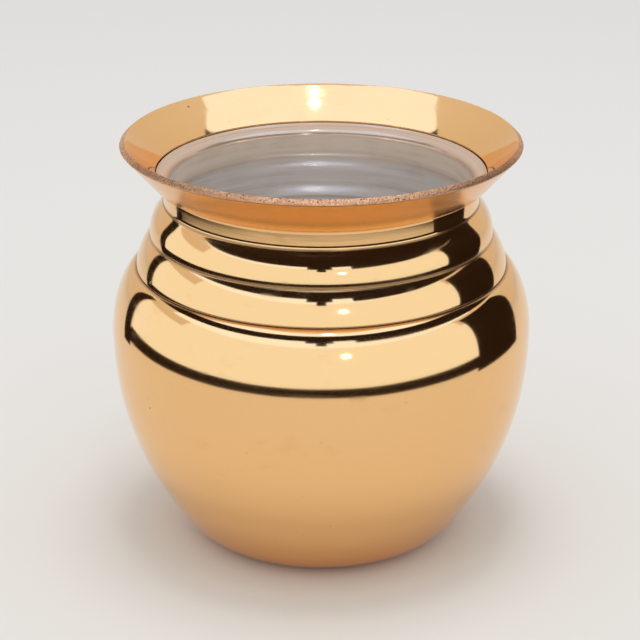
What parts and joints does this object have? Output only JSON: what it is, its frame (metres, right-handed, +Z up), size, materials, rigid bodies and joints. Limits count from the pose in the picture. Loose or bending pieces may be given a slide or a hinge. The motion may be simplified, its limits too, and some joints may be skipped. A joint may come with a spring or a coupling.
{
  "type": "kalash pot",
  "caption": "Round-bellied metal water pot with a ringed collar, a narrow throat, a flared lip and a tinned inside.",
  "frame": {"origin": "centre of the flat base, on the surface that the pot stands on", "axes": "+Z up along the pot's axis; X and Y are alike, because the pot is round"},
  "size_m": [0.096, 0.096, 0.095],
  "materials": {
    "golden_copper": "polished, with fine turning lines",
    "braze": "as run",
    "tin": "wiped tin, satin"
  },
  "bodies": {
    "root": {"bowl": "golden_copper", "collar": "golden_copper", "brazed_seam": "braze", "tin_lining": "tin"}
  },
  "joints": []
}
